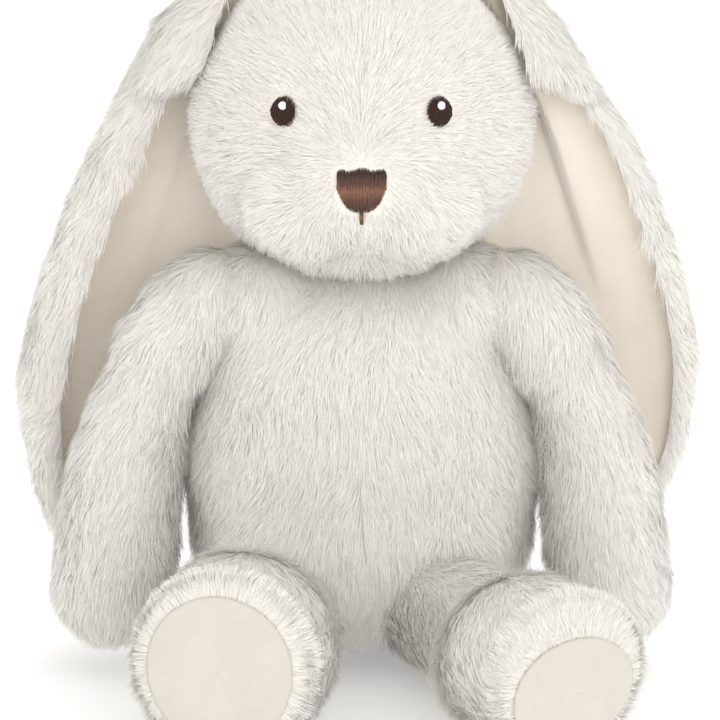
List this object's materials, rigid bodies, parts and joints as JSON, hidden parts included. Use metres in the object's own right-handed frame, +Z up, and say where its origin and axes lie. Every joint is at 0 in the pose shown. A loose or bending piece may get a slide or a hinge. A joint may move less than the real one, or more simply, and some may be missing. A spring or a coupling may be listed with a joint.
{
  "type": "stuffed bunny rabbit",
  "caption": "Soft toy rabbit that sits: fur panels over stuffing, with turning neck, arms, legs and tail and long hanging lop ears.",
  "frame": {"origin": "on the underside of the flat seat, under the body, on the surface the toy sits on", "axes": "+Z up; the toy faces -Y with its legs forward; +X is on the right of a viewer who faces the toy, and names with 'right' are on +X"},
  "size_m": [0.282, 0.2328, 0.284],
  "materials": {
    "fur": "long-pile fur fabric, off-white, soft and matt",
    "velour": "short velour, cream",
    "stuffing": "packed polyester fibre",
    "pouch_cloth": "thin woven cloth",
    "pellets": "loose pellets",
    "sewing_thread": "doubled sewing thread, off-white",
    "brown_thread": "embroidery thread, dark brown",
    "nose_thread": "satin-stitched embroidery thread, copper brown",
    "white_thread": "embroidery thread, white"
  },
  "bodies": {
    "body": {"seat_panel": "fur", "belly_panel": "fur", "back_left_panel": "fur", "back_right_panel": "fur", "body_stuffing": "stuffing", "pellet_pouch": "pouch_cloth", "pellet_load": "pellets", "back_closing_thread": "sewing_thread"},
    "neck": {"neck_stuffing": "stuffing", "neck_seam_thread": "sewing_thread"},
    "head": {"face_left_panel": "fur", "face_right_panel": "fur", "head_back_panel": "fur", "head_stuffing": "stuffing", "left_eye": "brown_thread", "right_eye": "brown_thread", "left_eye_glint": "white_thread", "right_eye_glint": "white_thread", "nose": "nose_thread", "lip_stitch": "nose_thread"},
    "left_shoulder": {"left_arm_seam_thread": "sewing_thread"},
    "left_arm": {"left_arm_front_panel": "fur", "left_arm_back_panel": "fur", "left_arm_stuffing": "stuffing"},
    "left_hip": {"left_leg_seam_thread": "sewing_thread"},
    "left_leg": {"left_leg_outer_panel": "fur", "left_leg_inner_panel": "fur", "left_leg_stuffing": "stuffing", "left_sole": "velour"},
    "left_ear": {"left_ear_back": "fur", "left_ear_lining": "velour", "left_ear_seam_thread": "sewing_thread"},
    "right_shoulder": {"right_arm_seam_thread": "sewing_thread"},
    "right_arm": {"right_arm_front_panel": "fur", "right_arm_back_panel": "fur", "right_arm_stuffing": "stuffing"},
    "right_hip": {"right_leg_seam_thread": "sewing_thread"},
    "right_leg": {"right_leg_outer_panel": "fur", "right_leg_inner_panel": "fur", "right_leg_stuffing": "stuffing", "right_sole": "velour"},
    "right_ear": {"right_ear_back": "fur", "right_ear_lining": "velour", "right_ear_seam_thread": "sewing_thread"},
    "tail": {"tail_fur": "fur", "tail_stuffing": "stuffing"}
  },
  "joints": [
    {"name": "neck_turn", "type": "hinge", "parent": "body", "child": "neck", "pos_m": [0, -0.018, 0.164], "axis": [0, 0, 1], "range_deg": [-6, 6], "stiffness_Nm_per_rad": 0.3},
    {"name": "neck_nod", "type": "hinge", "parent": "neck", "child": "head", "pos_m": [0, -0.018, 0.164], "axis": [1, 0, 0], "range_deg": [-4, 6], "stiffness_Nm_per_rad": 0.6},
    {"name": "tail_flop", "type": "hinge", "parent": "body", "child": "tail", "pos_m": [0, 0.034, 0.037], "axis": [1, 0, 0], "range_deg": [-15, 15], "stiffness_Nm_per_rad": 0.02},
    {"name": "left_arm_swing", "type": "hinge", "parent": "body", "child": "left_shoulder", "pos_m": [-0.056, -0.028, 0.146], "axis": [-0.9272, 0.3746, 0], "range_deg": [0, 100]},
    {"name": "left_arm_raise", "type": "hinge", "parent": "left_shoulder", "child": "left_arm", "pos_m": [-0.056, -0.028, 0.146], "axis": [0, 1, 0], "range_deg": [0, 50]},
    {"name": "left_leg_swing", "type": "hinge", "parent": "body", "child": "left_hip", "pos_m": [-0.031, -0.048, 0.029], "axis": [1, 0, 0], "range_deg": [-8, 90]},
    {"name": "left_leg_splay", "type": "hinge", "parent": "left_hip", "child": "left_leg", "pos_m": [-0.031, -0.048, 0.029], "axis": [0, 0, -1], "range_deg": [-5, 15]},
    {"name": "left_ear_lift", "type": "hinge", "parent": "head", "child": "left_ear", "pos_m": [-0.053, -0.01, 0.268], "axis": [0, 1, 0], "range_deg": [0, 110]},
    {"name": "right_arm_swing", "type": "hinge", "parent": "body", "child": "right_shoulder", "pos_m": [0.056, -0.028, 0.146], "axis": [-0.9272, -0.3746, 0], "range_deg": [0, 100]},
    {"name": "right_arm_raise", "type": "hinge", "parent": "right_shoulder", "child": "right_arm", "pos_m": [0.056, -0.028, 0.146], "axis": [0, -1, 0], "range_deg": [0, 50]},
    {"name": "right_leg_swing", "type": "hinge", "parent": "body", "child": "right_hip", "pos_m": [0.031, -0.048, 0.029], "axis": [1, 0, 0], "range_deg": [-8, 90]},
    {"name": "right_leg_splay", "type": "hinge", "parent": "right_hip", "child": "right_leg", "pos_m": [0.031, -0.048, 0.029], "axis": [0, 0, 1], "range_deg": [-5, 15]},
    {"name": "right_ear_lift", "type": "hinge", "parent": "head", "child": "right_ear", "pos_m": [0.053, -0.01, 0.268], "axis": [0, -1, 0], "range_deg": [0, 110]}
  ]
}
